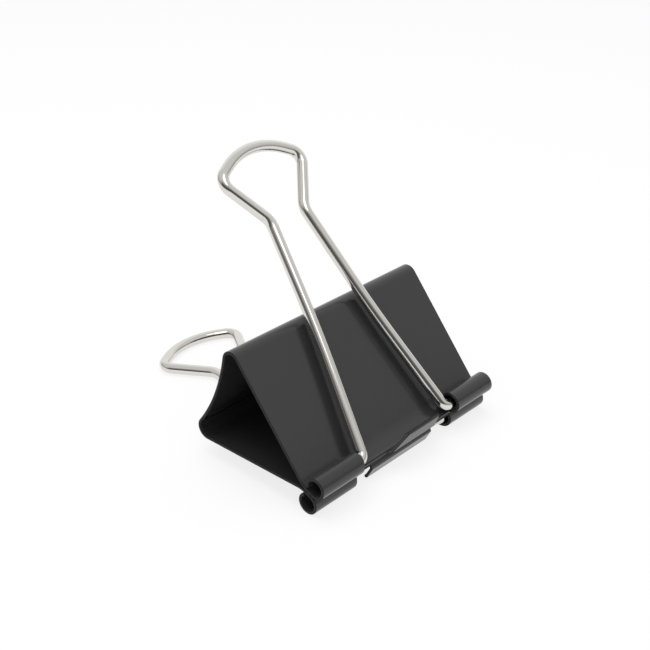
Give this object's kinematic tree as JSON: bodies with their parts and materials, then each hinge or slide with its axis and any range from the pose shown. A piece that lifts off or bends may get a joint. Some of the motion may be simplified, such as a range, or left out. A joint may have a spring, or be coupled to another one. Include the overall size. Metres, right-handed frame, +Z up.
{
  "type": "foldback clip",
  "caption": "Foldback paper clip with a triangular spring-steel body, rolled lips and swinging keyhole-shaped wire handles that fold flat or lever the jaws open.",
  "frame": {"origin": "middle of the box that the clip fills, at the surface it lies on", "axes": "+Z up, +X along the lips, +Y from the mouth towards the spine and the handles' loops, with the clip lying on its rear handle and rear lip"},
  "size_m": [0.051, 0.0678, 0.055],
  "materials": {
    "body_enamel": "satin black enamel on spring steel",
    "handle_nickel": "bright nickel plate on drawn steel wire"
  },
  "bodies": {
    "spine": {"spine": "body_enamel"},
    "front_jaw": {"front_jaw": "body_enamel"},
    "rear_jaw": {"rear_jaw": "body_enamel"},
    "front_handle": {"front_handle": "handle_nickel"},
    "rear_handle": {"rear_handle": "handle_nickel"}
  },
  "joints": [
    {"name": "front_jaw_flex", "type": "hinge", "parent": "spine", "child": "front_jaw", "pos_m": [0, -0.00848, 0.0245], "axis": [-1, 0, 0], "range_deg": [0, 24], "stiffness_Nm_per_rad": 1.5, "springref_deg": -14.32},
    {"name": "rear_jaw_flex", "type": "hinge", "parent": "spine", "child": "rear_jaw", "pos_m": [0, -0.00085, 0.0075], "axis": [1, 0, 0], "range_deg": [0, 24], "stiffness_Nm_per_rad": 1.5, "springref_deg": -14.32},
    {"name": "front_handle_pivot", "type": "hinge", "parent": "front_jaw", "child": "front_handle", "pos_m": [0, -0.03174, 0.0063], "axis": [1, 0, 0], "range_deg": [-1, 155]},
    {"name": "rear_handle_pivot", "type": "hinge", "parent": "rear_jaw", "child": "rear_handle", "pos_m": [0, -0.0299, 0.0022], "axis": [-1, 0, 0], "range_deg": [-1, 155]}
  ],
  "couplings": [
    {"joint": "rear_jaw_flex", "follows": "front_jaw_flex", "ratio": 1}
  ]
}
